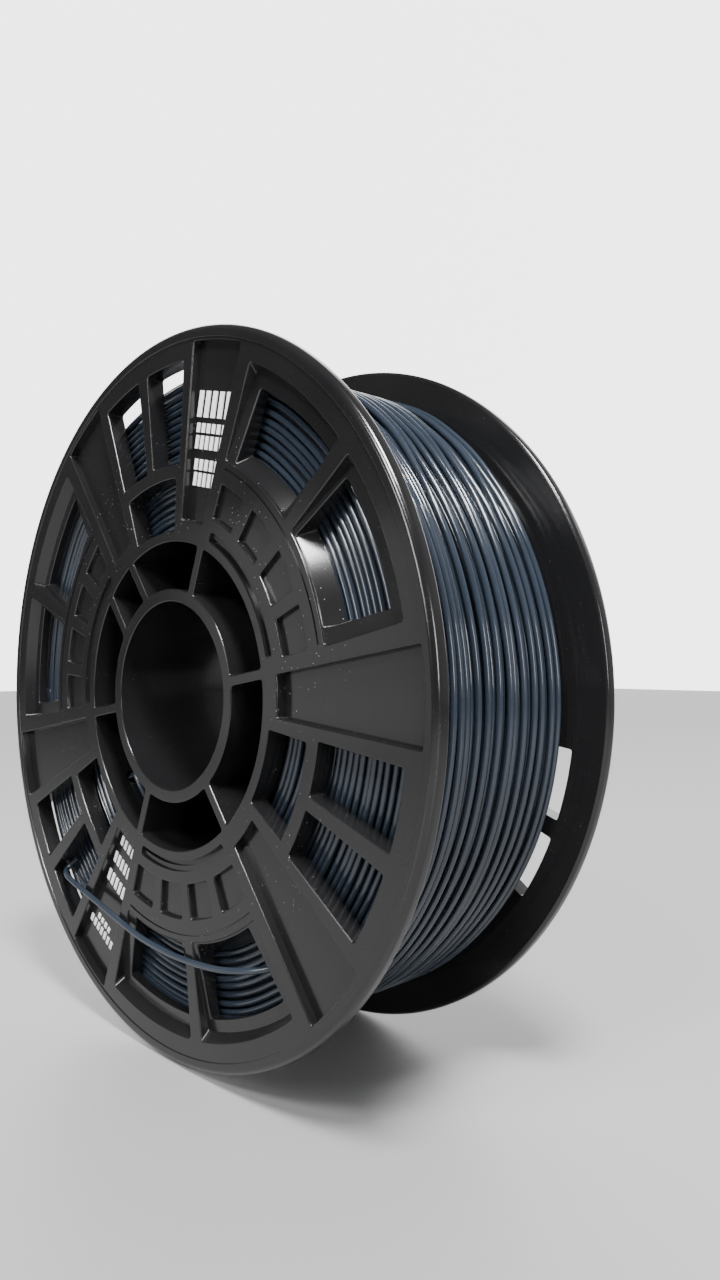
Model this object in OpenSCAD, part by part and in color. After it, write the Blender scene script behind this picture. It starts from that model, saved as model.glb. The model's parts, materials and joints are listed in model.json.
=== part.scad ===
// Filament spool: two moulded halves, each a windowed flange, half a drum, half a bore
// tube and hub ribs, wound with one strand of filament whose tail is laced through the
// front flange. The axis is Y, the front face looks along -Y, +Z is up, and the origin
// is the middle of the bore.

/* [Spool] */
// Outside diameter of both flanges
flange_d = 200; // [190:1:210]
// Width over the two rims
spool_w = 66; // [62:1:72]
// Diameter of the bore
bore_d = 52; // [50:0.5:54]
// Outside diameter of the drum under the filament
drum_d = 90; // [86:1:94]
// How far the window pattern is turned about the axis
pattern_turn = -21.3; // [-60:0.1:60]

/* [Walls] */
// Thickness of a flange between its windows
flange_t = 5.2; // [4.5:0.1:6]
// Thickness of a flange just inside its rim
rim_t = 4; // [3.5:0.1:4.5]
// Height of the bead round the rim
bead_h = 0.3; // [0.1:0.1:0.5]
// Wall of the drum
drum_wall = 2.6; // [2:0.1:3]
// Wall of the bore tube
tube_wall = 3.5; // [2.5:0.1:4]
// Thickness of a hub rib
rib_t = 2.6; // [2:0.1:3]
// Distance of each twin rib from the radius between them
twin_rib_offset = 7.4; // [6:0.1:9]

/* [Windows] */
// Half the angle of the bar between a pair of outer windows
bar_half = 1.6; // [1:0.1:2]
// Angle of the far side of a large window, from the middle of its pair
large_window_end = 27.4; // [26:0.1:28]
// Angle of the far side of a small window, from the middle of its pair
small_window_end = 13.4; // [12:0.1:14]
// Half the angle of a hub window
hub_window_half = 12.4; // [10:0.1:13]
// Angle of the middle of a sunk panel, from the middle of the small windows
panel_middle = 22.7; // [22:0.1:23.5]
// Half the angle between the two sides of a sunk panel
panel_half = 6.9; // [6:0.1:7.2]
// Depth of the sunk panels
panel_depth = 2.4; // [1:0.1:2.5]
// Depth of the frame round a large window at its outer side
frame_depth = 2.8; // [1:0.1:3]
// Depth of the small relief pockets
relief_depth = 1.3; // [0.5:0.1:2]

/* [Filament] */
// Diameter of the filament
filament_d = 1.75; // [1.7:0.01:1.8]
// Diameter over the wound filament
wound_d = 179; // [160:0.1:182]
// Gap between the winding and each flange
side_gap = 0.9; // [0.5:0.1:1.5]

/* [Hidden] */
$fn = 144;
past = 1;

flange_r = flange_d / 2;
bore_r = bore_d / 2;
drum_r = drum_d / 2;
drum_in_r = drum_r - drum_wall;
tube_r = bore_r + tube_wall;
rim_z = spool_w / 2;
face_z = rim_z - bead_h;
inner_z = face_z - flange_t;
wound_r = wound_d / 2;
strand_r = filament_d / 2;

// Radii of the flange's features, from the drum out to the rim
hub_window_out = 59.7;
small_window_in = 63.6;
small_window_out = 91.3;
large_window_in = 66.6;
large_window_out = 91.8;
frame_out = 89.8;
frame_shallow = 0.5;
opening_out = 86.5;
ramp_run = 3.1;
relief_in = 51.3;
relief_out = 60.5;
panel_in = 48.3;
panel_out = 95.8;
panel_inset = 0.6;
bead_in = 96.3;
web_end = 91.8;
outer_round = 1.8;
inner_round = 1;

// Ledge of a large window beside the bar and at its far side
bar_ledge = 1.8;
end_ledge = 4;

// Relief pockets of a large-window sector, as angles of their middles
relief_middles = [-21.65, -7.2, 7.2, 21.65];
relief_half = 5.15;

// Grooves round the hub and the fine line inside the large windows
groove_half = 25.8;
groove_mid = 46.4;
groove_out = 47.9;
groove_depth = 1.5;
groove_step = 0.8;
line_in = 64.3;
line_out = 64.9;
line_depth = 0.3;
line_half = 26.8;

// Lap joint of the two drum halves
lap_len = 4;
lap_gap = 0.1;
lap_r = drum_r - drum_wall / 2;
rib_stop = 3;

// Hole in the front drum half for the start of the filament, in the flange's own frame
anchor_turn = -120.5;
anchor_r = 2.5;
anchor_z = inner_z - 3.5;

// Winding: turns across the outside and layers down the sides
wound_w = 2 * (inner_z - side_gap);
turns = floor(wound_w / filament_d);
turn_pitch = (wound_w - filament_d) / (turns - 1);
layer_pitch = filament_d;
outer_layer_r = wound_r - strand_r;
pack_in_r = drum_r + 0.1;
pack_out_r = wound_r - filament_d;
layers = floor((pack_out_r - pack_in_r) / layer_pitch) - 1;

// Tail of the filament: out of a small window, across the face, into a large window
tail_points = [
    [-65.6, -27.4, -56.9], [-66.3, -29, -58.2], [-65.4, -30.5, -59.5],
    [-61.8, -31.8, -60], [-56.1, -32.9, -60.5], [-49.3, -33.6, -61.4],
    [-41, -33.7, -63.1], [-33.7, -33.65, -64.8], [-26, -33.65, -66.6],
    [-17.7, -33.7, -68.3], [-8.1, -33.7, -69.7], [0.8, -33.65, -70.3],
    [9.3, -33.6, -70.4], [17.3, -33.4, -70.1], [25, -32.9, -69.5],
    [31.2, -31.8, -68.6], [36, -30.4, -67.7], [39.4, -29, -66.8],
    [41.6, -27.6, -66]
];

// Start of the filament: in through the drum, then along the inside of the drum
start_bend = 12;
start_r = drum_in_r - 1.4;

// Rows of plain printed bars on two sunk panels: [middle radius, height, bars, pitch]
mark_h = 0.2;
bar_share = 0.62;
upper_marks = [
    [79.5, 7, 5, 3.2], [73.2, 2.5, 6, 2.4], [69.4, 3.6, 6, 2.3],
    [63.5, 2.9, 5, 2.4], [59.6, 3.6, 5, 2.2]
];
lower_marks = [
    [84.8, 2.4, 7, 2.2], [81.6, 1.6, 4, 2.2], [66.3, 3.8, 5, 2.3],
    [59.3, 3.6, 5, 2.1], [52.7, 3, 4, 2.2]
];
upper_mark_turn = 97.7;
lower_mark_turn = -98;

plastic = [0.12, 0.12, 0.13];
filament_colour = [0.30, 0.35, 0.42];
ink = [0.93, 0.93, 0.92];

function arc(centre, r, from, to, steps) =
    [for (i = [0:steps])
        let (a = from + (to - from) * i / steps)
            [centre[0] + r * cos(a), centre[1] + r * sin(a)]];

function unit(v) = v / norm(v);

function at_angle(r, a, z) = [r * cos(a), r * sin(a), z];

// The corner of a wedge side that is set in by some distance from a radius
function set_in(r, a, inset) = [r * cos(a) - inset * sin(a), r * sin(a) + inset * cos(a)];

// A moulding is drawn facing +Z, with its small windows on +X, and then stood up
module at_front() {
    rotate([90, 0, 0])
        rotate([0, 0, pattern_turn])
            children();
}

module at_rear() {
    at_front()
        rotate([180, 0, 0])
            children();
}

module ring(r_in, r_out) {
    difference() {
        circle(r_out);
        circle(r_in);
    }
}

// A flat wedge from angle a0 to a1, each side set in by its own distance
module wedge(a0, a1, inset0 = 0, inset1 = 0) {
    near = 15;
    far = 1.4 * flange_r;
    polygon([
        set_in(near, a0, inset0), set_in(far, a0, inset0),
        set_in(far, a1, -inset1), set_in(near, a1, -inset1)
    ]);
}

// A piece of a ring sunk into the face from angle a0 to a1, its sides set in or not
module sunk(r_in, r_out, a0, a1, depth, inset = 0) {
    translate([0, 0, face_z - depth])
        linear_extrude(depth + past)
            intersection() {
                ring(r_in, r_out);
                wedge(a0, a1, inset, inset);
            }
}

// Everything between two radii and two angles, right through the flange
module pierced(r_in, r_out, a0, a1) {
    sunk(r_in, r_out, a0, a1, flange_t + past);
}

// A turned profile cut to a wedge
module turned_wedge(profile, a0, a1, inset0, inset1) {
    intersection() {
        rotate_extrude()
            polygon(profile);
        translate([0, 0, inner_z - 2 * past])
            linear_extrude(flange_t + 4 * past)
                wedge(a0, a1, inset0, inset1);
    }
}

// A large window: a frame that deepens towards its sloping outer side, and an opening
// whose side towards the hub is a ramp
module large_window(side) {
    a0 = side > 0 ? bar_half : -large_window_end;
    a1 = side > 0 ? large_window_end : -bar_half;
    ramp = ramp_run / flange_t;
    frame = [
        [large_window_in, face_z], [large_window_in, face_z + past],
        [large_window_out, face_z + past], [large_window_out, face_z],
        [frame_out, face_z - frame_depth],
        [large_window_in + ramp * frame_shallow, face_z - frame_shallow]
    ];
    opening = [
        [large_window_in, face_z], [opening_out, face_z],
        [opening_out, inner_z - past],
        [large_window_in + ramp * (flange_t + past), inner_z - past]
    ];
    turned_wedge(frame, a0, a1, 0, 0);
    turned_wedge(
        opening, a0, a1,
        side > 0 ? bar_ledge : end_ledge,
        side > 0 ? end_ledge : bar_ledge
    );
}

// The blank of a flange: flat web, thinner towards the rim, with a bead and round edges
module flange_blank() {
    outer = arc([flange_r - outer_round, rim_z - outer_round], outer_round, 0, 90, 6);
    inner = arc([flange_r - inner_round, rim_z - rim_t + inner_round], inner_round, -90, 0, 4);
    rotate_extrude()
        polygon(concat(
            [[drum_r, face_z], [drum_r, inner_z], [web_end, inner_z],
             [bead_in, rim_z - rim_t]],
            inner,
            outer,
            [[bead_in + bead_h, rim_z], [bead_in, face_z]]
        ));
}

// What is cut from the sector with the small windows, between its two sunk panels
module small_window_sector() {
    pierced(drum_r - past, hub_window_out, -hub_window_half, hub_window_half);
    for (side = [-1, 1]) {
        a = side * (bar_half + small_window_end) / 2;
        half = (small_window_end - bar_half) / 2;
        pierced(small_window_in, small_window_out, a - half, a + half);
        b = side * panel_middle;
        sunk(panel_in, panel_out, b - panel_half, b + panel_half, panel_depth, panel_inset);
    }
}

// What is cut from the sector with the large windows
module large_window_sector() {
    for (side = [-1, 1])
        large_window(side);
    for (a = relief_middles)
        sunk(relief_in, relief_out, a - relief_half, a + relief_half, relief_depth);
    sunk(drum_r - past, groove_mid, -groove_half, groove_half, groove_depth);
    sunk(drum_r - past, groove_out, -groove_half, groove_half, groove_step);
    sunk(line_in, line_out, -line_half, line_half, line_depth);
}

module flange() {
    color(plastic)
        difference() {
            flange_blank();
            for (i = [0:2])
                rotate([0, 0, 120 * i]) {
                    small_window_sector();
                    rotate([0, 0, 60])
                        large_window_sector();
                }
        }
}

module tube(r_in, r_out, z0, z1) {
    translate([0, 0, z0])
        linear_extrude(z1 - z0)
            ring(r_in, r_out);
}

// The front half of the drum ends in an outer lap, and has the hole for the filament
module front_drum_half() {
    color(plastic)
        difference() {
            union() {
                tube(drum_in_r, drum_r, lap_len, face_z);
                tube(lap_r + lap_gap / 2, drum_r, -lap_len, lap_len);
            }
            translate(at_angle(drum_r, anchor_turn, anchor_z))
                rotate([0, 90, anchor_turn])
                    cylinder(r = anchor_r, h = 4 * drum_wall, center = true);
        }
}

// The rear half of the drum ends in the inner lap
module rear_drum_half() {
    color(plastic) {
        tube(drum_in_r, drum_r, lap_len + lap_gap, face_z);
        tube(drum_in_r, lap_r - lap_gap / 2, lap_gap - lap_len, lap_len + lap_gap);
    }
}

module bore_tube_half() {
    color(plastic)
        tube(bore_r, tube_r, 0, face_z);
}

// Five single ribs and one pair, between the bore tube and the drum
module hub_ribs() {
    color(plastic)
        translate([0, 0, rib_stop])
            linear_extrude(face_z - rib_stop)
                intersection() {
                    ring(tube_r, drum_in_r);
                    union() {
                        for (i = [0:5])
                            if (i != 2)
                                rotate(30 + 60 * i)
                                    translate([0, -rib_t / 2])
                                        square([drum_r, rib_t]);
                        for (side = [-1, 1])
                            rotate(150)
                                translate([0, side * twin_rib_offset - rib_t / 2])
                                    square([drum_r, rib_t]);
                    }
                }
}

// The wound filament under its outer layer, with the turns that show at both sides
module winding() {
    color(filament_colour)
        rotate([90, 0, 0])
            rotate_extrude()
                union() {
                    translate([pack_in_r, -(wound_w - filament_d) / 2])
                        square([pack_out_r - pack_in_r, wound_w - filament_d]);
                    for (side = [-1, 1])
                        for (i = [0:layers])
                            translate([
                                pack_out_r - strand_r - i * layer_pitch,
                                side * (wound_w - filament_d) / 2
                            ])
                                circle(strand_r, $fn = 24);
                }
}

// The outer layer: one ring for each turn
module outer_layer() {
    color(filament_colour)
        rotate([90, 0, 0])
            rotate_extrude()
                difference() {
                    union() {
                        for (i = [0:turns - 1])
                            translate([outer_layer_r, -(wound_w - filament_d) / 2 + i * turn_pitch])
                                circle(strand_r + 0.02, $fn = 24);
                        translate([pack_out_r, -(wound_w - filament_d) / 2])
                            square([strand_r, wound_w - filament_d]);
                    }
                    translate([pack_out_r - past, -wound_w])
                        square([past, 2 * wound_w]);
                }
}

// A round strand along a list of points, one ring of eight corners at each point
module strand(points) {
    sides = 8;
    last = len(points) - 1;
    rings = [for (i = [0:last])
        let (
            ahead = unit(points[min(i + 1, last)] - points[max(i - 1, 0)]),
            across = unit(cross(ahead, [0, 1, 0])),
            up = cross(ahead, across)
        )
            for (k = [0:sides - 1])
                points[i] + strand_r * (cos(360 * k / sides) * across
                                        + sin(360 * k / sides) * up)];
    walls = [for (i = [0:last - 1])
        for (k = [0:sides - 1])
            let (n = (k + 1) % sides)
                [i * sides + k, i * sides + n, (i + 1) * sides + n, (i + 1) * sides + k]];
    polyhedron(
        points = rings,
        faces = concat(
            walls,
            [[for (k = [0:sides - 1]) sides - 1 - k]],
            [[for (k = [0:sides - 1]) last * sides + k]]
        )
    );
}

module tail() {
    color(filament_colour)
        strand(tail_points);
}

// The start of the filament, in the flange's own frame
module start_of_filament() {
    bend = [for (i = [0:6])
        at_angle(start_r, anchor_turn + start_bend * i / 6, anchor_z)];
    color(filament_colour)
        at_front()
            strand(concat(
                [at_angle(pack_in_r - 0.05, anchor_turn - 1.6, anchor_z),
                 at_angle(drum_in_r + 0.6, anchor_turn - 1, anchor_z)],
                bend
            ));
}

module mark_rows(rows, turn) {
    rotate([0, 0, turn])
        for (row = rows, i = [0:row[2] - 1])
            translate([
                row[0] - row[1] / 2,
                (i - row[2] / 2 + (1 - bar_share) / 2) * row[3],
                face_z - panel_depth
            ])
                cube([row[1], bar_share * row[3], mark_h]);
}

module print_marks() {
    color(ink)
        at_front() {
            mark_rows(upper_marks, upper_mark_turn);
            mark_rows(lower_marks, lower_mark_turn);
        }
}

at_front() flange();  // front_flange
at_front() front_drum_half();  // front_drum
at_front() bore_tube_half();  // front_bore_tube
at_front() hub_ribs();  // front_hub_ribs
at_rear() flange();  // rear_flange
at_rear() rear_drum_half();  // rear_drum
at_rear() bore_tube_half();  // rear_bore_tube
at_rear() hub_ribs();  // rear_hub_ribs
winding();  // filament_winding
outer_layer();  // filament_outer_layer
tail();  // filament_tail
start_of_filament();  // filament_start
print_marks();  // front_print_marks
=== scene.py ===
import json
import math
import random

import bmesh
import bpy
from mathutils import Matrix, Vector


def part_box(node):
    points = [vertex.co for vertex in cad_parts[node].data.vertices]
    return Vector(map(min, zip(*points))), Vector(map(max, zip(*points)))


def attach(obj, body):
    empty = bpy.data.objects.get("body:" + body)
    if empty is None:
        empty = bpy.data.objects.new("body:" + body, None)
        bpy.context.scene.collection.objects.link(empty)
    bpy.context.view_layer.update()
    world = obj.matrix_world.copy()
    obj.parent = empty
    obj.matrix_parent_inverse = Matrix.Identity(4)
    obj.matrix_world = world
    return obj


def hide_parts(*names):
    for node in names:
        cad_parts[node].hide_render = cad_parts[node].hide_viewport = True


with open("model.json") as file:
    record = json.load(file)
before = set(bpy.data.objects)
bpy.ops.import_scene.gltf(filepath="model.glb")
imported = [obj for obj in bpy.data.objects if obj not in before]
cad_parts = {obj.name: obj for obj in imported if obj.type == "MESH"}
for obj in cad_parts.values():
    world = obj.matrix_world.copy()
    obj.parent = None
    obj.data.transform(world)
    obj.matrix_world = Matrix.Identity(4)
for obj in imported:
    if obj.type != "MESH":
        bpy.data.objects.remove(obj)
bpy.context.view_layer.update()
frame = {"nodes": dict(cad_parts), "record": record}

MM = 0.001


def reach(node, axis):
    """The furthest a node reaches along an axis (0, 1, 2), in millimetres."""
    low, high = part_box(node)
    return max(abs(low[axis]), abs(high[axis])) / MM


# ---------------------------------------------------------------- sizes, in millimetres
# The main sizes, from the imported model
FLANGE_R = reach("front_flange", 0)
RIM_Z = reach("rear_flange", 1)
FACE_Z = reach("front_bore_tube", 1)
TUBE_R = reach("front_bore_tube", 2)
DRUM_R = reach("front_drum", 2)
WOUND_R = reach("filament_outer_layer", 2)
WOUND_HALF_W = reach("filament_winding", 1)
BORE_R = frame["record"]["mounts"][0]["dims"]["r_mm"]

# The standard strand
STRAND_R = 1.75 / 2

# Walls. A half is made lying down: Z is its axis, from the middle of the drum up to its face
WEB_T = 5.2
RIM_T = 4.0
RIB_T = 2.6
DRUM_T = 2.6
INNER_Z = FACE_Z - WEB_T
DRUM_IN_R = DRUM_R - DRUM_T

# Where the ribs and the bore tube stop, short of the middle of the drum
RIB_STOP = 3.0
TUBE_STOP = 0.03

# Radii of the flange's features
GROOVE_MID, GROOVE_OUT = 46.4, 47.9
PANEL_IN, PANEL_OUT = 48.3, 95.8
RELIEF_IN, RELIEF_OUT = 51.3, 60.5
HUB_WINDOW_IN, HUB_WINDOW_OUT = DRUM_R + 0.3, 59.7
SMALL_IN, SMALL_OUT = 63.6, 91.3
LINE_IN, LINE_OUT = 64.3, 64.9
LARGE_IN, LARGE_OUT = 66.6, 91.8
OPENING_OUT, FRAME_OUT = 86.5, 89.8
FRAME_DEEP_R = FRAME_OUT - 1.3
WEB_END, BEAD_IN = 91.8, 96.3

# Angles, in degrees. The pattern comes three times round: each third has its hub window and
# small windows about its own turn, and its large windows about a turn 60 further on
PATTERN_TURN = -21.3
LARGE_TURN = 60
BAR_HALF = 1.6
LARGE_END = 27.4
SMALL_END = 13.4
HUB_WINDOW_HALF = 12.4
PANEL_MIDDLE, PANEL_HALF = 22.7, 6.9
RELIEF_MIDDLES = (-21.65, -7.2, 7.2, 21.65)
RELIEF_HALF = 5.15
GROOVE_HALF = 25.8
LINE_HALF = 26.8

# Depths below the face
PANEL_DEPTH = 2.4
FRAME_SHALLOW, FRAME_DEPTH = 0.5, 2.8
RELIEF_DEPTH = 1.3
GROOVE_DEPTH, GROOVE_STEP = 1.5, 0.8
LINE_DEPTH = 0.3

# Insets, ledges and slopes inside the pockets and windows
HAIR = 0.01
PANEL_INSET = 0.6
GROOVE_INSET = 0.4
FLOOR_INSET = 0.1
OPENING_INSET = 0.3
BAR_LEDGE, END_LEDGE = 1.8, 4.0
RAMP_SLOPE = 3.1 / WEB_T

# Hub ribs: their turns in degrees, and half the distance between the two close ones
RIB_STEP = 60
PLAIN_POCKETS = (-90, -30, 30, 210)
TWIN_TURN = 150
TWIN_RIB = 7.4
POCKET_PAST = 0.05

# The lap joint of the drum, and the hole in it that holds the start of the strand
LAP = 4.0
LAP_SKIN = 1.3
LAP_GAP, END_GAP = 0.05, 0.1
ANCHOR_TURN = -120.5
ANCHOR_R = 2.5
ANCHOR_Z = INNER_Z - 3.5

# Rounded edges and corners, in plan and in section
EDGE = 0.35
RIM_EDGE, RIM_BACK_EDGE, BEAD_EDGE = 1.8, 1.0, 0.3
CORNER = 0.8
SMALL_CORNER = 0.5
POCKET_CORNER = 0.9
LINE_CORNER = 0.2
GROOVE_CORNER, GROOVE_MID_CORNER = 0.9, 0.6
FACE_CORNER, FLOOR_CORNER, OPENING_CORNER = 1.0, 0.9, 0.7

# How finely things are made, how far a cutter sticks out, and the angle of a sharp edge
SEGMENTS = 240
CORNER_STEPS = 4
ABOVE = 1.0
SHARP = 34.0


# ---------------------------------------------------------------- camera and light
def add_camera():
    camera = bpy.data.cameras.new("camera")
    camera.lens = 26.656
    camera.sensor_width = 36.0
    camera.shift_x = 0.0060
    camera.shift_y = 0.0084
    camera.clip_start = 0.01
    holder = bpy.data.objects.new("camera", camera)
    bpy.context.scene.collection.objects.link(holder)
    holder.location = Vector((226.3, -173.9, 10.0)) * MM
    ahead = Vector((-0.7318, 0.6815, 0.0091))
    holder.rotation_euler = ahead.to_track_quat("-Z", "Y").to_euler()
    bpy.context.scene.camera = holder


def add_softbox(name, direction, distance, size, radiance):
    """A soft light of a given radiance, seen from the spool in a given direction."""
    light = bpy.data.lights.new(name, "AREA")
    light.shape = "RECTANGLE"
    light.size, light.size_y = size
    light.energy = radiance * math.pi * size[0] * size[1]
    holder = bpy.data.objects.new(name, light)
    bpy.context.scene.collection.objects.link(holder)
    toward = Vector(direction).normalized()
    holder.location = toward * distance
    holder.rotation_euler = toward.to_track_quat("Z", "Y").to_euler()


def add_softboxes():
    """The lights: name, direction, distance and size in metres, and radiance."""
    for softbox in (
        ("key", (0.42, -0.25, 0.87), 0.9, (0.17, 0.24), 150.0),
        ("ahead", (0.25, -0.68, 0.69), 0.9, (0.16, 0.20), 65.0),
        ("strip", (0.92, -0.33, 0.20), 1.0, (0.16, 0.30), 20.0),
        ("front", (-0.70, -0.70, -0.14), 1.1, (0.36, 0.75), 0.9),
        ("window", (-0.20, -0.93, 0.30), 1.0, (0.30, 0.30), 13.0),
        ("behind", (0.15, 0.93, 0.35), 1.2, (0.60, 0.60), 2.0),
    ):
        add_softbox(*softbox)


def set_range(node, *numbers):
    """Sets a Map Range node: the range that comes in, then the range that goes out."""
    for key, number in zip(("From Min", "From Max", "To Min", "To Max"), numbers):
        node.inputs[key].default_value = number


def add_world(dim, lobes):
    """A dim studio with soft bright sides: [(direction, where it starts, is full, strength)]."""
    world = bpy.data.worlds.new("studio")
    bpy.context.scene.world = world
    world.use_nodes = True
    tree = world.node_tree
    where = tree.nodes.new("ShaderNodeTexCoord")
    total = None
    for direction, start, full, strength in lobes:
        along = tree.nodes.new("ShaderNodeVectorMath")
        along.operation = "DOT_PRODUCT"
        along.inputs[1].default_value = direction
        tree.links.new(where.outputs["Generated"], along.inputs[0])
        lobe = tree.nodes.new("ShaderNodeMapRange")
        lobe.interpolation_type = "SMOOTHSTEP"
        set_range(lobe, start, full, 0.0, strength)
        tree.links.new(along.outputs["Value"], lobe.inputs["Value"])
        both = tree.nodes.new("ShaderNodeMath")
        both.operation = "ADD"
        tree.links.new(lobe.outputs["Result"], both.inputs[0])
        if total is None:
            both.inputs[1].default_value = dim
        else:
            tree.links.new(total, both.inputs[1])
        total = both.outputs["Value"]
    back = tree.nodes["Background"]
    tree.links.new(total, back.inputs["Strength"])
    back.inputs["Color"].default_value = (1.0, 1.0, 1.0, 1.0)


def add_floor():
    """A pale floor, a hair below the rims."""
    below = 0.0002
    bpy.ops.mesh.primitive_plane_add(size=6.0, location=(0, 0, -FLANGE_R * MM - below))
    floor = bpy.context.object
    floor.name = "floor"
    paint = bpy.data.materials.new("floor_pale")
    paint.use_nodes = True
    shader = paint.node_tree.nodes["Principled BSDF"]
    shader.inputs["Base Color"].default_value = (0.34, 0.34, 0.34, 1.0)
    shader.inputs["Roughness"].default_value = 0.45
    floor.data.materials.append(paint)


# ---------------------------------------------------------------- materials
class Paint:
    """A node material, built up one node at a time."""

    def __init__(self, name):
        self.material = bpy.data.materials.new(name)
        self.material.use_nodes = True
        self.tree = self.material.node_tree
        self.shader = self.tree.nodes["Principled BSDF"]
        self.place = self.add("ShaderNodeTexCoord").outputs["Object"]

    def add(self, kind, **values):
        made = self.tree.nodes.new(kind)
        for key, value in values.items():
            setattr(made, key, value)
        return made

    def link(self, source, target):
        self.tree.links.new(source, target)

    def drive(self, key, source):
        """Drives an input of the shader from a node."""
        self.link(source, self.shader.inputs[key])

    def set(self, **values):
        for key, value in values.items():
            self.shader.inputs[key.replace("_", " ")].default_value = value

    def stretched(self, scale):
        mapping = self.add("ShaderNodeMapping")
        mapping.inputs["Scale"].default_value = scale
        self.link(self.place, mapping.inputs["Vector"])
        return mapping.outputs["Vector"]

    def noise(self, scale, detail=2.0, roughness=0.5, where=None, distortion=0.0):
        made = self.add("ShaderNodeTexNoise")
        made.inputs["Scale"].default_value = scale
        made.inputs["Detail"].default_value = detail
        made.inputs["Roughness"].default_value = roughness
        made.inputs["Distortion"].default_value = distortion
        self.link(where or self.place, made.inputs["Vector"])
        return made.outputs["Fac"]

    def spread(self, value, low, high, to_low=0.0, to_high=1.0):
        made = self.add("ShaderNodeMapRange", clamp=True)
        self.link(value, made.inputs["Value"])
        set_range(made, low, high, to_low, to_high)
        return made.outputs["Result"]

    def maths(self, operation, a, b):
        made = self.add("ShaderNodeMath", operation=operation)
        for socket, value in zip(made.inputs, (a, b)):
            if isinstance(value, (int, float)):
                socket.default_value = value
            else:
                self.link(value, socket)
        return made.outputs["Value"]

    def blend(self, amount, first, second):
        """Mixes two colours, each a colour or a node's output."""
        made = self.add("ShaderNodeMix", data_type="RGBA")
        self.link(amount, made.inputs["Factor"])
        for socket, value in ((made.inputs[6], first), (made.inputs[7], second)):
            if isinstance(value, tuple):
                socket.default_value = (*value, 1.0)
            else:
                self.link(value, socket)
        return made.outputs[2]

    def bump(self, height, strength, distance, under=None):
        made = self.add("ShaderNodeBump")
        made.inputs["Strength"].default_value = strength
        made.inputs["Distance"].default_value = distance
        self.link(height, made.inputs["Height"])
        if under is not None:
            self.link(under, made.inputs["Normal"])
        return made.outputs["Normal"]

    def axis_distance(self):
        """Distance from the spool's axis, in metres."""
        apart = self.add("ShaderNodeSeparateXYZ")
        self.link(self.place, apart.inputs["Vector"])
        squares = [self.maths("MULTIPLY", apart.outputs[k], apart.outputs[k]) for k in "XZ"]
        return self.maths("SQRT", self.maths("ADD", *squares), 0.0)

    def specks(self, spacing, size, share):
        """Small round specks, at most one to a cell, in a share of the cells."""
        cells = self.add("ShaderNodeTexVoronoi")
        cells.inputs["Scale"].default_value = 1.0 / spacing
        self.link(self.place, cells.inputs["Vector"])
        spot = self.spread(cells.outputs["Distance"], 0.6 * size / spacing, size / spacing, 1.0, 0.0)
        chance = self.add("ShaderNodeSeparateColor")
        self.link(cells.outputs["Color"], chance.inputs["Color"])
        chosen = self.spread(chance.outputs["Red"], 1 - share, 1.001 - share)
        return self.maths("MULTIPLY", spot, chosen)


def scuff_marks(paint):
    """Fine scratches and scuffs, drawn out along the flange's face."""
    scratches = paint.noise(240.0, 4.0, 0.7, paint.stretched((1.0, 0.35, 6.0)), 0.6)
    scuffs = paint.noise(210.0, 4.0, 0.7, paint.stretched((6.0, 0.35, 1.0)), 0.6)
    return paint.maths(
        "MAXIMUM", paint.spread(scratches, 0.67, 0.75), paint.spread(scuffs, 0.69, 0.77)
    )


def dust_specks(paint):
    """Dust in patches round the hub, and a little of it everywhere."""
    everywhere = 0.10
    radius = paint.axis_distance()
    near_hub = paint.maths(
        "MULTIPLY", paint.spread(radius, 0.040, 0.050), paint.spread(radius, 0.066, 0.082, 1.0, 0.0)
    )
    patches = paint.spread(paint.noise(45.0, 2.0), 0.40, 0.54)
    dusty = paint.maths("MAXIMUM", paint.maths("MULTIPLY", near_hub, patches), everywhere)
    dust = paint.maths(
        "MAXIMUM", paint.specks(0.0011, 0.00013, 0.38), paint.specks(0.0028, 0.00020, 0.22)
    )
    return paint.maths("MULTIPLY", dust, dusty)


def spool_plastic():
    black, soft_black = (0.0065, 0.0065, 0.0070), (0.0105, 0.0105, 0.0110)
    scuffed, dust = (0.035, 0.035, 0.037), (0.40, 0.40, 0.39)
    paint = Paint("spool_plastic")
    blotches = paint.noise(35.0, 3.0)
    marks = scuff_marks(paint)
    specks = dust_specks(paint)
    base = paint.blend(blotches, black, soft_black)
    worn = paint.blend(paint.maths("MULTIPLY", marks, 0.35), base, scuffed)
    paint.drive("Base Color", paint.blend(paint.maths("MULTIPLY", specks, 0.75), worn, dust))
    rough = paint.maths(
        "ADD", paint.spread(blotches, 0.3, 0.7, 0.15, 0.21), paint.maths("MULTIPLY", marks, 0.12)
    )
    paint.drive("Roughness", paint.maths("ADD", rough, paint.maths("MULTIPLY", specks, 0.3)))
    waves = paint.bump(paint.noise(26.0, 2.0), 0.10, 0.0005)
    fine = paint.bump(paint.noise(2600.0, 2.0), 0.06, 0.00003, waves)
    paint.drive("Normal", paint.bump(specks, 0.5, 0.00008, fine))
    paint.set(Specular_IOR_Level=0.5)
    return paint.material


def filament_plastic():
    slate, light_slate, grey = (0.015, 0.021, 0.031), (0.024, 0.032, 0.045), (0.06, 0.07, 0.09)
    paint = Paint("filament")
    drift = paint.noise(60.0, 2.0)
    grain = paint.noise(1400.0, 3.0, 0.6)
    base = paint.blend(drift, slate, light_slate)
    paint.drive("Base Color", paint.blend(paint.spread(grain, 0.55, 0.8, 0.0, 0.2), base, grey))
    paint.drive("Roughness", paint.spread(drift, 0.3, 0.7, 0.12, 0.17))
    paint.drive("Normal", paint.bump(grain, 0.10, 0.00004))
    paint.set(Specular_IOR_Level=0.55)
    return paint.material


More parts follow.
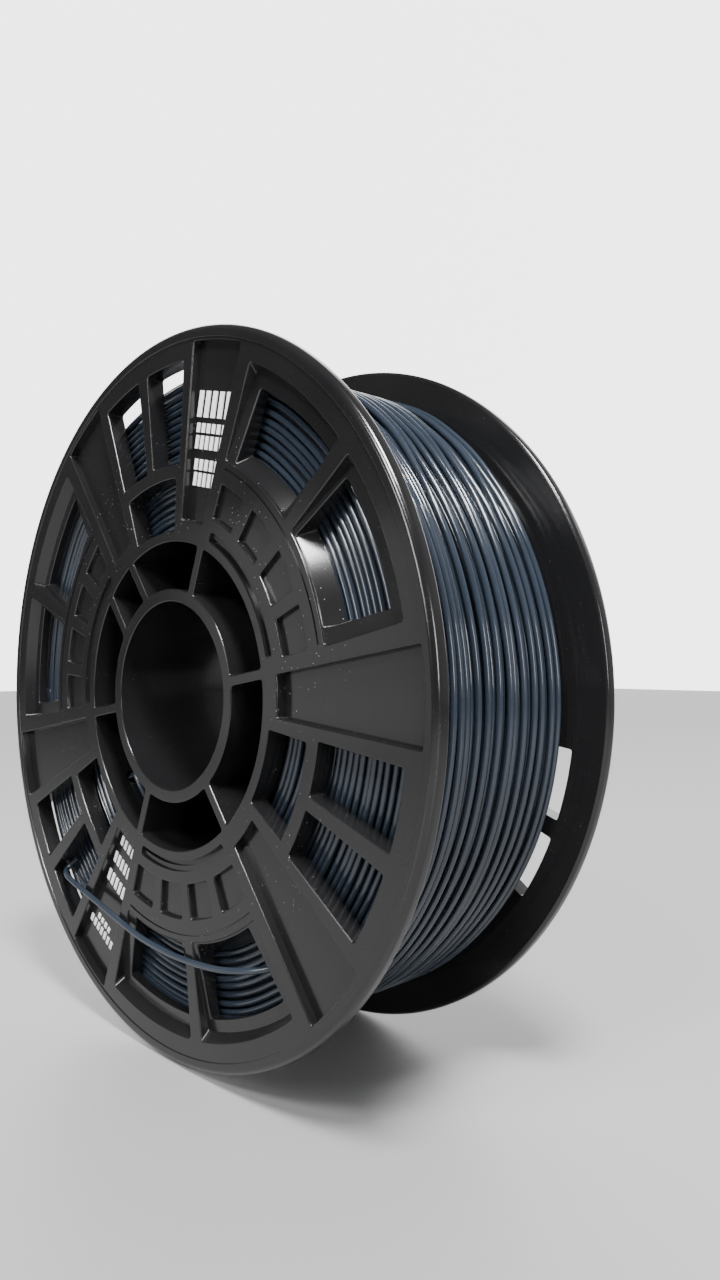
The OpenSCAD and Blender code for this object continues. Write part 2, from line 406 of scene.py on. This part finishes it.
def painted_shade_core():
    """What shows in the gaps between the turns: painted shade, coloured darker than the filament
    itself.
    """
    # Painted shade: the hidden turns get a colour darker than the filament's own slate, standing in
    # for the shade between the turns
    shade_dark, shade_less_dark = (0.006, 0.009, 0.014), (0.012, 0.016, 0.024)
    paint = Paint("filament_core_painted_shade")
    paint.drive("Base Color", paint.blend(paint.noise(80.0, 2.0), shade_dark, shade_less_dark))
    paint.set(Roughness=0.6)
    return paint.material


def print_ink():
    white, bright_white = (0.80, 0.80, 0.78), (0.93, 0.93, 0.91)
    paint = Paint("print_ink")
    mottle = paint.noise(700.0, 3.0, 0.6)
    paint.drive("Base Color", paint.blend(paint.spread(mottle, 0.3, 0.7), white, bright_white))
    paint.drive("Roughness", paint.spread(mottle, 0.3, 0.7, 0.45, 0.6))
    return paint.material


# ---------------------------------------------------------------- mesh tools
def make_object(name, mesh_data):
    holder = bpy.data.objects.new(name, mesh_data)
    bpy.context.scene.collection.objects.link(holder)
    return holder


def from_bmesh(name, shape):
    bmesh.ops.recalc_face_normals(shape, faces=shape.faces)
    mesh = bpy.data.meshes.new(name)
    shape.to_mesh(mesh)
    shape.free()
    return mesh


def turned(degrees, axis):
    return Matrix.Rotation(math.radians(degrees), 4, axis)


def ring_piece(r_in, r_out, side0, side1, corner=CORNER, arc_steps=24):
    """A piece of a ring with rounded corners, as a closed outline, going round from side0 to
    side1. A side is an angle in degrees and a distance, in the sense of that turn, from the
    ray at the angle to a line beside it."""
    def at(r, angle):
        return Vector((r * math.cos(angle), r * math.sin(angle)))

    def angle_of(r, side):
        return math.radians(side[0]) + math.asin(side[1] / r)

    def rounded(before, tip, after):
        steps = [i / CORNER_STEPS for i in range(CORNER_STEPS + 1)]
        return [before * (1 - t) ** 2 + tip * 2 * t * (1 - t) + after * t ** 2 for t in steps]

    inside0, outside0 = angle_of(r_in, side0), angle_of(r_out, side0)
    inside1, outside1 = angle_of(r_in, side1), angle_of(r_out, side1)
    near, far = corner / r_in, corner / r_out
    outline = rounded(
        at(r_in, inside0 + near), at(r_in, inside0),
        at(r_in + corner, angle_of(r_in + corner, side0)),
    )
    outline += rounded(
        at(r_out - corner, angle_of(r_out - corner, side0)), at(r_out, outside0),
        at(r_out, outside0 + far),
    )
    for i in range(1, arc_steps):
        share = i / arc_steps
        outline.append(at(r_out, outside0 + far + share * (outside1 - outside0 - 2 * far)))
    outline += rounded(
        at(r_out, outside1 - far), at(r_out, outside1),
        at(r_out - corner, angle_of(r_out - corner, side1)),
    )
    outline += rounded(
        at(r_in + corner, angle_of(r_in + corner, side1)), at(r_in, inside1),
        at(r_in, inside1 - near),
    )
    for i in range(1, arc_steps):
        share = i / arc_steps
        outline.append(at(r_in, inside1 - near + share * (inside0 - inside1 + 2 * near)))
    return outline


def height_at(z, point):
    """A height is a number, or a function of the point for a tilted surface."""
    return z(point) if callable(z) else z


def raised(z, rise):
    """The same height, moved up."""
    return lambda point: height_at(z, point) + rise


def add_loft(shape, sections):
    """Adds a closed solid through outlines of equal length: [(outline, height), ...]."""
    rings = [
        [shape.verts.new((p.x * MM, p.y * MM, height_at(z, p) * MM)) for p in outline]
        for outline, z in sections
    ]
    count = len(rings[0])
    for lower, upper in zip(rings, rings[1:]):
        for i in range(count):
            j = (i + 1) % count
            shape.faces.new((lower[i], lower[j], upper[j], upper[i]))
    shape.faces.new(list(reversed(rings[0])))
    shape.faces.new(rings[-1])


def add_lathe(shape, profile, segments=SEGMENTS):
    """Adds a closed ring turned from a closed (radius, z) profile, in millimetres."""
    rings = []
    for i in range(segments):
        angle = 2 * math.pi * i / segments
        c, s = math.cos(angle), math.sin(angle)
        rings.append([shape.verts.new((r * c * MM, r * s * MM, z * MM)) for r, z in profile])
    count = len(profile)
    for i in range(segments):
        here, ahead = rings[i], rings[(i + 1) % segments]
        for k in range(count):
            n = (k + 1) % count
            shape.faces.new((here[k], here[n], ahead[n], ahead[k]))


def subtract(target, cutter):
    tool = target.modifiers.new("cut", "BOOLEAN")
    tool.operation = "DIFFERENCE"
    tool.solver = "EXACT"
    tool.object = cutter
    bpy.context.view_layer.update()
    graph = bpy.context.evaluated_depsgraph_get()
    result = bpy.data.meshes.new_from_object(target.evaluated_get(graph))
    target.modifiers.clear()
    old = target.data
    target.data = result
    bpy.data.meshes.remove(old)
    bpy.data.objects.remove(cutter)


def arc(centre_r, centre_z, r, start, end, steps):
    angles = [math.radians(start + (end - start) * i / steps) for i in range(steps + 1)]
    return [(centre_r + r * math.cos(a), centre_z + r * math.sin(a)) for a in angles]


def smooth_path(points, steps):
    """A smooth curve through points, with some steps between each two."""
    path = []
    for i in range(len(points) - 1):
        before, here = points[max(i - 1, 0)], points[i]
        ahead, after = points[i + 1], points[min(i + 2, len(points) - 1)]
        for k in range(steps):
            t = k / steps
            path.append(0.5 * (
                2 * here + (ahead - before) * t
                + (2 * before - 5 * here + 4 * ahead - after) * t ** 2
                + (3 * here - before - 3 * ahead + after) * t ** 3
            ))
    return path + [points[-1]]


def add_tube(shape, path, radius, sides=8, closed=False):
    """Adds a round tube along a path, with closed ends or joined end to end."""
    count = len(path)
    rings = []
    for i, here in enumerate(path):
        before = path[i - 1] if closed or i else here
        ahead = path[(i + 1) % count] if closed or i + 1 < count else here
        along = (ahead - before).normalized()
        across = along.cross(Vector((0, 1, 0))).normalized()
        up = along.cross(across)
        rings.append([
            shape.verts.new((here + radius * (
                math.cos(2 * math.pi * k / sides) * across + math.sin(2 * math.pi * k / sides) * up
            )) * MM)
            for k in range(sides)
        ])
    for i in range(count if closed else count - 1):
        here, ahead = rings[i], rings[(i + 1) % count]
        for k in range(sides):
            n = (k + 1) % sides
            shape.faces.new((here[k], here[n], ahead[n], ahead[k]))
    if not closed:
        shape.faces.new(list(reversed(rings[0])))
        shape.faces.new(rings[-1])


# ---------------------------------------------------------------- the two mouldings
def drum_end(step_r, inner_z, outer_z):
    """The end of the drum wall in the lap joint: its inner part, a step, its outer part."""
    return [(DRUM_IN_R, inner_z), (step_r, inner_z), (step_r, outer_z), (DRUM_R, outer_z)]


def half_profile(wall_end):
    """Bore tube, drum and flange as one turned outline, with the half's own drum end."""
    rim_back = RIM_Z - RIM_T
    return (
        [(BORE_R, TUBE_STOP), (TUBE_R, TUBE_STOP), (TUBE_R, RIB_STOP), (DRUM_IN_R, RIB_STOP)]
        + wall_end
        + [(DRUM_R, INNER_Z), (WEB_END, INNER_Z), (BEAD_IN, rim_back)]
        + arc(FLANGE_R - RIM_BACK_EDGE, rim_back + RIM_BACK_EDGE, RIM_BACK_EDGE, -90, 0, 4)
        + arc(FLANGE_R - RIM_EDGE, RIM_Z - RIM_EDGE, RIM_EDGE, 0, 90, 6)
        + arc(BEAD_IN + 2 * BEAD_EDGE, RIM_Z - BEAD_EDGE, BEAD_EDGE, 90, 180, 3)
        + arc(BORE_R + EDGE, FACE_Z - EDGE, EDGE, 90, 180, 3)
    )


def rounded_sections(outline_at, bottom, top):
    """Sections of a cutter that rounds the edge it makes in a surface at height top."""
    sections = [(outline_at(0.0), bottom)]
    for degrees in (0, 30, 60, 90):
        angle = math.radians(degrees)
        drop = EDGE * (1 - math.sin(angle))
        sections.append((outline_at(EDGE * (1 - math.cos(angle))), raised(top, -drop)))
    sections.append((outline_at(EDGE), raised(top, ABOVE)))
    return sections


def flat_cutter(shape, r_in, r_out, middle, half, depth, corner=CORNER, inset=0.0):
    """A pocket or window with upright sides and a rounded edge at the face."""
    def outline_at(grown):
        return ring_piece(
            r_in - grown, r_out + grown,
            (middle - half, inset - grown), (middle + half, grown - inset), corner + grown,
        )
    add_loft(shape, rounded_sections(outline_at, FACE_Z - depth, FACE_Z))


def groove_cutter(shape, r_in, r_out, middle, half, depth, corner, inset=0.0):
    """A groove round part of the face, with sharp edges."""
    outline = ring_piece(r_in, r_out, (middle - half, inset), (middle + half, -inset), corner)
    add_loft(shape, [(outline, FACE_Z - depth), (outline, FACE_Z + ABOVE)])


def large_window(first, second, turn, side):
    """The tilted sunk frame and, below it, the ramped opening."""
    start, end = (BAR_HALF, LARGE_END) if side > 0 else (-LARGE_END, -BAR_HALF)
    start, end = start + turn, end + turn
    ledges = (BAR_LEDGE, END_LEDGE) if side > 0 else (END_LEDGE, BAR_LEDGE)
    middle = math.radians((start + end) / 2)
    toward = Vector((math.cos(middle), math.sin(middle)))
    near = LARGE_IN + RAMP_SLOPE * FRAME_SHALLOW
    fall = (FRAME_DEPTH - FRAME_SHALLOW) / (FRAME_DEEP_R - near)

    def floor_z(p):
        return FACE_Z - FRAME_SHALLOW - fall * (p.dot(toward) - near)

    def face_outline(grown):
        return ring_piece(LARGE_IN - grown, LARGE_OUT + grown, (start, -grown), (end, grown),
                          FACE_CORNER + grown)

    floor = ring_piece(near, FRAME_OUT, (start, FLOOR_INSET), (end, -FLOOR_INSET), FLOOR_CORNER)
    face = rounded_sections(face_outline, floor_z, FACE_Z)
    add_loft(first, [(floor, floor_z)] + face[1:])

    def opening_outline(grown):
        return ring_piece(near + OPENING_INSET - grown, OPENING_OUT + grown,
                          (start, ledges[0] - grown), (end, grown - ledges[1]),
                          OPENING_CORNER + grown)

    ramp_end = LARGE_IN + RAMP_SLOPE * (FACE_Z - INNER_Z + ABOVE)
    low = ring_piece(ramp_end, OPENING_OUT, (start, ledges[0]), (end, -ledges[1]), OPENING_CORNER)
    opening = rounded_sections(opening_outline, floor_z, floor_z)
    add_loft(second, [(low, INNER_Z - ABOVE)] + opening[1:])


def hub_pocket(shape, side0, side1):
    """A pocket between two ribs, just into the drum wall, so that no thin skin is left."""
    def outline_at(grown):
        return ring_piece(TUBE_R - grown, DRUM_IN_R + POCKET_PAST + grown,
                          (side0[0], side0[1] - grown), (side1[0], side1[1] + grown),
                          POCKET_CORNER + grown, arc_steps=14)
    add_loft(shape, rounded_sections(outline_at, -ABOVE, FACE_Z))


def add_third(first, second, turn):
    """The cutters of one third of the flange's pattern."""
    small_middle = (BAR_HALF + SMALL_END) / 2
    across = turn + LARGE_TURN
    through = FACE_Z - INNER_Z + ABOVE
    flat_cutter(first, HUB_WINDOW_IN, HUB_WINDOW_OUT, turn, HUB_WINDOW_HALF, through)
    for side in (-1, 1):
        flat_cutter(first, SMALL_IN, SMALL_OUT, turn + side * small_middle,
                    SMALL_END - small_middle, through)
        flat_cutter(first, PANEL_IN, PANEL_OUT, turn + side * PANEL_MIDDLE,
                    PANEL_HALF, PANEL_DEPTH, SMALL_CORNER, PANEL_INSET)
        large_window(first, second, across, side)
    for middle in RELIEF_MIDDLES:
        flat_cutter(first, RELIEF_IN, RELIEF_OUT, across + middle,
                    RELIEF_HALF, RELIEF_DEPTH, SMALL_CORNER)
    groove_cutter(first, DRUM_R, GROOVE_OUT, across, GROOVE_HALF, GROOVE_STEP, GROOVE_CORNER)
    groove_cutter(second, DRUM_R + HAIR, GROOVE_MID, across, GROOVE_HALF, GROOVE_DEPTH,
                  GROOVE_MID_CORNER, GROOVE_INSET)
    groove_cutter(first, LINE_IN, LINE_OUT, across, LINE_HALF, LINE_DEPTH, LINE_CORNER)


def add_hub_pockets(shape):
    rib = RIB_T / 2
    for angle in PLAIN_POCKETS:
        hub_pocket(shape, (angle, rib), (angle + RIB_STEP, -rib))
    hub_pocket(shape, (TWIN_TURN - RIB_STEP, rib), (TWIN_TURN, -TWIN_RIB - rib))
    hub_pocket(shape, (TWIN_TURN, -TWIN_RIB + rib), (TWIN_TURN, TWIN_RIB - rib))
    hub_pocket(shape, (TWIN_TURN, TWIN_RIB + rib), (TWIN_TURN + RIB_STEP, -rib))


def cut_moulding(name, wall_end):
    blank = bmesh.new()
    add_lathe(blank, half_profile(wall_end))
    half = make_object(name, from_bmesh(name, blank))
    first, second = bmesh.new(), bmesh.new()
    for third in range(3):
        add_third(first, second, 120 * third)
    add_hub_pockets(first)
    subtract(half, make_object("cutters", from_bmesh("cutters", first)))
    subtract(half, make_object("cutters", from_bmesh("cutters", second)))
    return half


def drill_anchor(half):
    """The hole in the front drum half that holds the start of the strand."""
    drill = bmesh.new()
    bmesh.ops.create_cone(drill, cap_ends=True, segments=32, radius1=ANCHOR_R * MM,
                          radius2=ANCHOR_R * MM, depth=0.01)
    cutter = make_object("drill", from_bmesh("drill", drill))
    place = Matrix.Translation((DRUM_R * MM, 0, ANCHOR_Z * MM))
    cutter.matrix_world = turned(ANCHOR_TURN, "Z") @ place @ turned(90, "Y")
    subtract(half, cutter)


def finish_shading(mesh):
    """Joins flat faces and marks which edges stay sharp."""
    shape = bmesh.new()
    shape.from_mesh(mesh)
    bmesh.ops.remove_doubles(shape, verts=shape.verts, dist=0.002 * MM)
    bmesh.ops.dissolve_limit(
        shape, angle_limit=math.radians(0.2), verts=shape.verts, edges=shape.edges
    )
    bmesh.ops.recalc_face_normals(shape, faces=shape.faces)
    for face in shape.faces:
        face.smooth = True
    limit = math.radians(SHARP)
    for edge in shape.edges:
        edge.smooth = len(edge.link_faces) == 2 and edge.calc_face_angle() < limit
    shape.to_mesh(mesh)
    shape.free()


def stood_up(rear):
    """Stands a half up on its rim, with its pattern turned; the rear one faces back."""
    stand = turned(90, "X") @ turned(PATTERN_TURN, "Z")
    return stand @ turned(180, "X") if rear else stand


def build_halves(plastic):
    """Both halves are the same moulding, but for the lap joint at the drum's end."""
    lap_r = DRUM_R - LAP_SKIN
    wall_ends = {
        "front": drum_end(lap_r + LAP_GAP, LAP, -LAP),
        "rear": drum_end(lap_r - LAP_GAP, END_GAP - LAP, LAP + END_GAP),
    }
    for name, wall_end in wall_ends.items():
        half = cut_moulding(f"{name}_half", wall_end)
        if name == "front":
            drill_anchor(half)
        finish_shading(half.data)
        half.data.transform(stood_up(name == "rear"))
        shading = half.modifiers.new("shading", "WEIGHTED_NORMAL")
        shading.keep_sharp = True
        shading.weight = 90
        half.data.materials.clear()
        half.data.materials.append(plastic)
        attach(half, "root")
        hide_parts(f"{name}_flange", f"{name}_drum", f"{name}_bore_tube",
                    f"{name}_hub_ribs")


# ---------------------------------------------------------------- the wound filament
# How far the winding reaches at some angles round the axis: it bulges at the crossovers
REACH = [(-180, 93.8), (-135, 94.0), (-115, 92.0), (-90, 91.2), (-75, 91.4), (-60, 90.4),
         (-42, 90.2), (-25, 90.2), (-8, 89.9), (15, 89.8), (38, 90.2), (50, 90.8), (62, 91.4),
         (80, 91.4), (100, 90.6), (120, 91.4), (145, 93.4), (180, 93.8)]
REACH_LEAST = min(r for _, r in REACH)

# Waves round the axis that make up a turn's waver, and its sizes along and across the axis
WAVES = (2, 3, 5, 7)
LAYER_WAVER = (0.35, 0.12)
SIDE_WAVER = (0.22, 0.20)

# The core that stands for the hidden turns, coloured as painted shade, and the turns that show
# through the windows
CORE_R = 84.8
CORE_HALF_W = WOUND_HALF_W - 2.2
SIDE_TURNS_IN, SIDE_TURNS_OUT = DRUM_R + 1.2, 87.3
SIDE_TURNS_APART = (1.82, 2.35)
SIDE_TURNS_SLACK = 0.5
SIDE_STEPS = 180

# The top layers, from the deepest out: depth, spacing, angle of the crossover, steps a turn
LAYERS = ((3.2, (1.8, 2.1), -60, 180), (1.9, (1.9, 3.2), 120, 180), (0.0, (1.8, 4.5), 55, 220))
LAYER_HALF_W = WOUND_HALF_W - STRAND_R - 0.4

# How far a turn may waver past the layer's edge, how far its crossover may shift and how wide
# it is, in degrees, and the share of a turn over which the waver fades in and out
PAST_LAYER = 0.2
CROSSOVER_SHIFT = 12
CROSSOVER_WIDTH = (28, 60)
FADE_SHARE = 0.08

# How deep the ends of a layer are tucked in, and over what part of a turn
TUCK = 3.6
TUCK_PART = 12

# Loose turns on top: the angles and the places along the axis where they start and end, how
# far they rise in the middle and sink at their ends, and how much they bend
CROSSINGS = ((92, -6, -24.6, -16.5), (80, 4, -25.0, -19.5), (104, 22, -22.5, -12.0),
             (70, -24, -24.8, -21.8), (-40, -112, -12.0, -19.0), (150, 60, 14.0, 21.0))
CROSSING_STEPS = 60
CROSSING_LIFT, CROSSING_SINK = 0.75, 2.6
CROSSING_BEND = 0.08


def eased(t):
    """A smooth step from 0 to 1."""
    return t * t * (3 - 2 * t)


def within(value, low, high):
    return min(max(value, low), high)


def wound_reach(angle):
    """How far the winding reaches at an angle, from REACH."""
    angle = (angle + 180) % 360 - 180
    for (a, low), (b, high) in zip(REACH, REACH[1:]):
        if angle <= b:
            return low + (high - low) * eased((angle - a) / (b - a))


def ring_point(r, angle, y):
    turn = math.radians(angle)
    return Vector((r * math.cos(turn), y, r * math.sin(turn)))


class Wobble:
    """A slow, seeded waver round the axis."""

    def __init__(self, chance, size):
        self.parts = [(n, size * chance.uniform(0.4, 1.0) / math.sqrt(n), chance.uniform(0, 360))
                      for n in WAVES]

    def at(self, angle):
        return sum(a * math.sin(math.radians(n * angle + p)) for n, a, p in self.parts)


def spaced(chance, start, end, low, high):
    """Places from start to end, a random distance from low to high apart."""
    places = [start]
    while places[-1] + low < end:
        places.append(min(places[-1] + chance.uniform(low, high), end))
    return places


def tuck_in(path, count):
    """Leads both ends of a strand down under the turns beside them."""
    for i in range(count):
        sink = 1.0 - TUCK / WOUND_R * (1.0 - i / count) ** 2
        for k in (i, -1 - i):
            path[k] = Vector((path[k].x * sink, path[k].y, path[k].z * sink))


def add_layer(shape, chance, depth, pitch, crossing, steps):
    """One layer as a single strand: it steps to its next place at the crossing angle."""
    places = spaced(chance, -LAYER_HALF_W, LAYER_HALF_W, *pitch)
    path = []
    for here, ahead in zip(places, places[1:]):
        sideways, inward = [Wobble(chance, size) for size in LAYER_WAVER]
        middle = crossing + chance.uniform(-CROSSOVER_SHIFT, CROSSOVER_SHIFT)
        width = chance.uniform(*CROSSOVER_WIDTH)
        for k in range(steps):
            angle = 360 * k / steps - 180
            step = eased(within((angle - middle) / width + 0.5, 0, 1))
            fade = min(min(k, steps - k) / (FADE_SHARE * steps), 1.0)
            y = here + (ahead - here) * step + fade * sideways.at(angle)
            y = within(y, -LAYER_HALF_W - PAST_LAYER, LAYER_HALF_W + PAST_LAYER)
            r = wound_reach(angle) - STRAND_R - depth + fade * inward.at(angle)
            path.append(ring_point(r, angle, y))
    tuck_in(path, steps // TUCK_PART)
    add_tube(shape, path, STRAND_R)


def add_crossings(shape):
    """Loose turns that cross over the others, most of them beside the front flange."""
    for start, end, y_start, y_end in CROSSINGS:
        path = []
        for k in range(CROSSING_STEPS + 1):
            t = k / CROSSING_STEPS
            lift = CROSSING_LIFT - CROSSING_SINK * (2 * t - 1) ** 4
            angle = start + (end - start) * t
            y = y_start + (y_end - y_start) * (t + CROSSING_BEND * math.sin(2 * math.pi * t))
            path.append(ring_point(wound_reach(angle) - STRAND_R + lift, angle, y))
        add_tube(shape, path, STRAND_R)


def add_side_turns(shape, chance, side):
    """The turns that show through the windows of one flange."""
    outermost = WOUND_HALF_W - STRAND_R
    for r in spaced(chance, SIDE_TURNS_IN, SIDE_TURNS_OUT, *SIDE_TURNS_APART):
        sideways, outward = [Wobble(chance, size) for size in SIDE_WAVER]
        y = outermost - chance.uniform(0.0, SIDE_TURNS_SLACK)
        share = (r - DRUM_R) / (REACH_LEAST - DRUM_R)
        path = []
        for k in range(SIDE_STEPS):
            angle = 360 * k / SIDE_STEPS
            out = within(y + sideways.at(angle), 0, outermost)
            swell = share * (wound_reach(angle) - REACH_LEAST)
            path.append(ring_point(r + swell + outward.at(angle), angle, side * out))
        add_tube(shape, path, STRAND_R, closed=True)


def settle(name, shape, paint, node):
    """Makes a shape the piece that stands for a node of the filament."""
    holder = make_object(name, from_bmesh(name, shape))
    for face in holder.data.polygons:
        face.use_smooth = True
    holder.data.materials.append(paint)
    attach(holder, "root")
    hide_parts(node)


def build_winding(paint, shaded_core_paint):
    core = bmesh.new()
    inside, half = DRUM_R + 0.1, CORE_HALF_W
    outline = [(inside, -half), (CORE_R, -half), (CORE_R, half), (inside, half)]
    add_lathe(core, outline, segments=96)
    core.transform(turned(90, "X"))
    # The core is coloured as painted shade, darker than the filament itself
    settle("winding_core", core, shaded_core_paint, "filament_winding")
    chance = random.Random(7)
    sides = bmesh.new()
    for side in (-1, 1):
        add_side_turns(sides, chance, side)
    settle("side_turns", sides, paint, "filament_winding")
    layers = bmesh.new()
    for layer in LAYERS:
        add_layer(layers, chance, *layer)
    add_crossings(layers)
    settle("outer_turns", layers, paint, "filament_outer_layer")


def build_tail(paint):
    """The tail, laced through the front flange."""
    route = [
        (-64.8, -26.6, -55.6), (-66.0, -28.6, -57.8), (-65.6, -30.3, -59.3), (-61.8, -31.8, -60.1),
        (-56.1, -32.9, -60.6), (-49.3, -33.6, -61.5), (-37.4, -33.7, -64.0), (-26.0, -33.65, -66.6),
        (-13.0, -33.7, -69.1), (0.8, -33.65, -70.3), (9.3, -33.6, -70.4), (17.3, -33.4, -70.1),
        (25.0, -32.9, -69.5), (31.2, -31.8, -68.6), (36.0, -30.4, -67.7), (39.4, -28.9, -66.8),
        (42.4, -27.2, -65.8), (46.5, -26.2, -64.0), (51.0, -26.0, -61.0),
    ]
    tail = bmesh.new()
    add_tube(tail, smooth_path([Vector(p) for p in route], steps=8), STRAND_R, sides=12)
    settle("tail", tail, paint, "filament_tail")


def build_start(paint):
    """The start of the strand, through the hole in the drum and along its inside."""
    turns = [(DRUM_R + 0.05, -1.6), (DRUM_IN_R + 0.6, -1.0)]
    turns += [(DRUM_IN_R - 1.4, 2.0 * i) for i in range(7)]
    stand = stood_up(False)
    route = []
    for r, along in turns:
        angle = math.radians(ANCHOR_TURN + along)
        route.append(stand @ Vector((r * math.cos(angle), r * math.sin(angle), ANCHOR_Z)))
    start = bmesh.new()
    add_tube(start, smooth_path(route, steps=5), STRAND_R, sides=12)
    settle("start", start, paint, "filament_start")


# ---------------------------------------------------------------- the printed bars
def build_marks(ink):
    marks = frame["nodes"]["front_print_marks"]
    marks.data.materials.clear()
    marks.data.materials.append(ink)


# ---------------------------------------------------------------- the whole scene
plastic = spool_plastic()
filament = filament_plastic()
add_camera()
add_world(0.09, [((-0.73, 0.68, 0.0), 0.60, 0.78, 3.8), ((0.60, 0.80, 0.0), 0.10, 0.90, 0.4)])
add_floor()
build_halves(plastic)
build_winding(filament, painted_shade_core())
build_tail(filament)
build_start(filament)
build_marks(print_ink())
add_softboxes()
